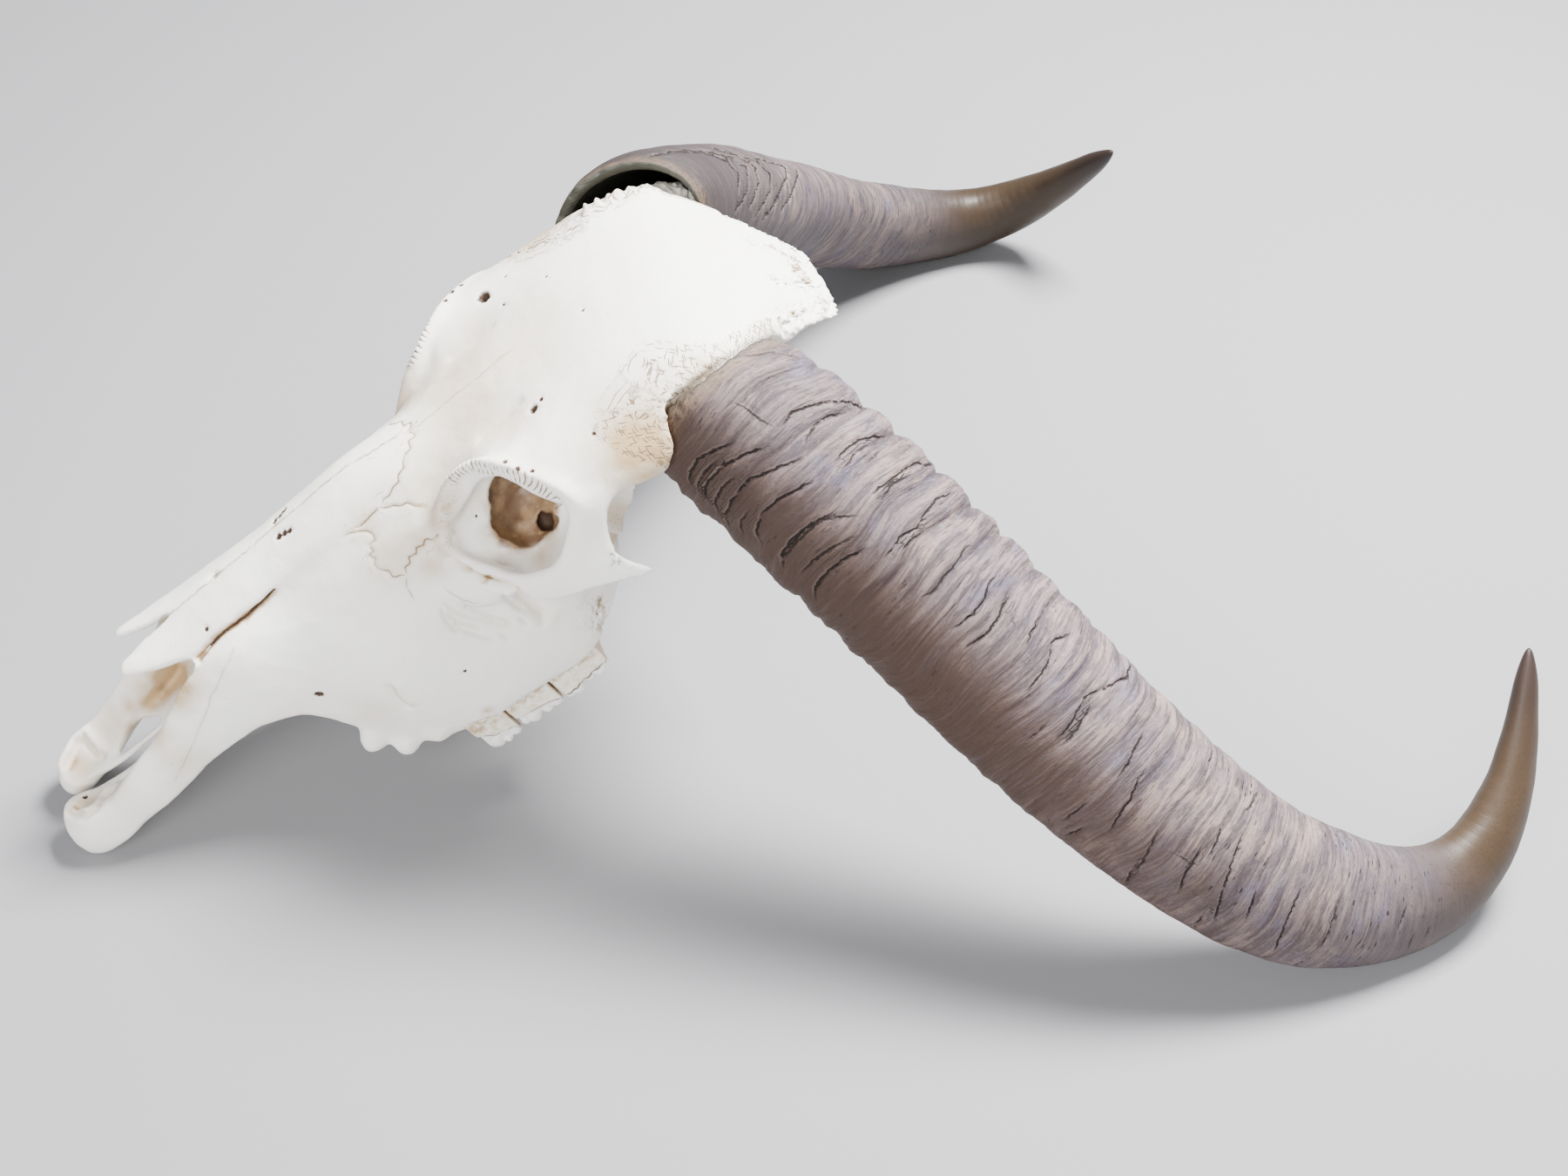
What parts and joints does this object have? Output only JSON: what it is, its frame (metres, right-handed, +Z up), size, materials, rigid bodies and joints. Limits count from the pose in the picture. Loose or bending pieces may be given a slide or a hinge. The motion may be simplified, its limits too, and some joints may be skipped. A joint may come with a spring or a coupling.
{
  "type": "water buffalo skull",
  "caption": "Skull of a horned grazing animal without its lower jaw, with hollow curved horns on bony cores, lying on its snout and its horns.",
  "frame": {"origin": "bottom centre of the whole object as it lies on the floor", "axes": "+X to the animal's left, +Y from the snout back to the horns, +Z up from the floor, with the skull as it lies nose down"},
  "size_m": [0.6934, 0.7843, 0.3116],
  "materials": {
    "bone": "dry weathered bone, matt",
    "horn": "weathered ridged keratin, satin at the tips",
    "tooth": "dull enamel"
  },
  "bodies": {
    "root": {"skull": "bone", "horn_sheath_left": "horn", "horn_sheath_right": "horn", "molar_1_left": "tooth", "molar_2_left": "tooth", "molar_3_left": "tooth", "molar_1_right": "tooth", "molar_2_right": "tooth", "molar_3_right": "tooth"}
  },
  "joints": []
}
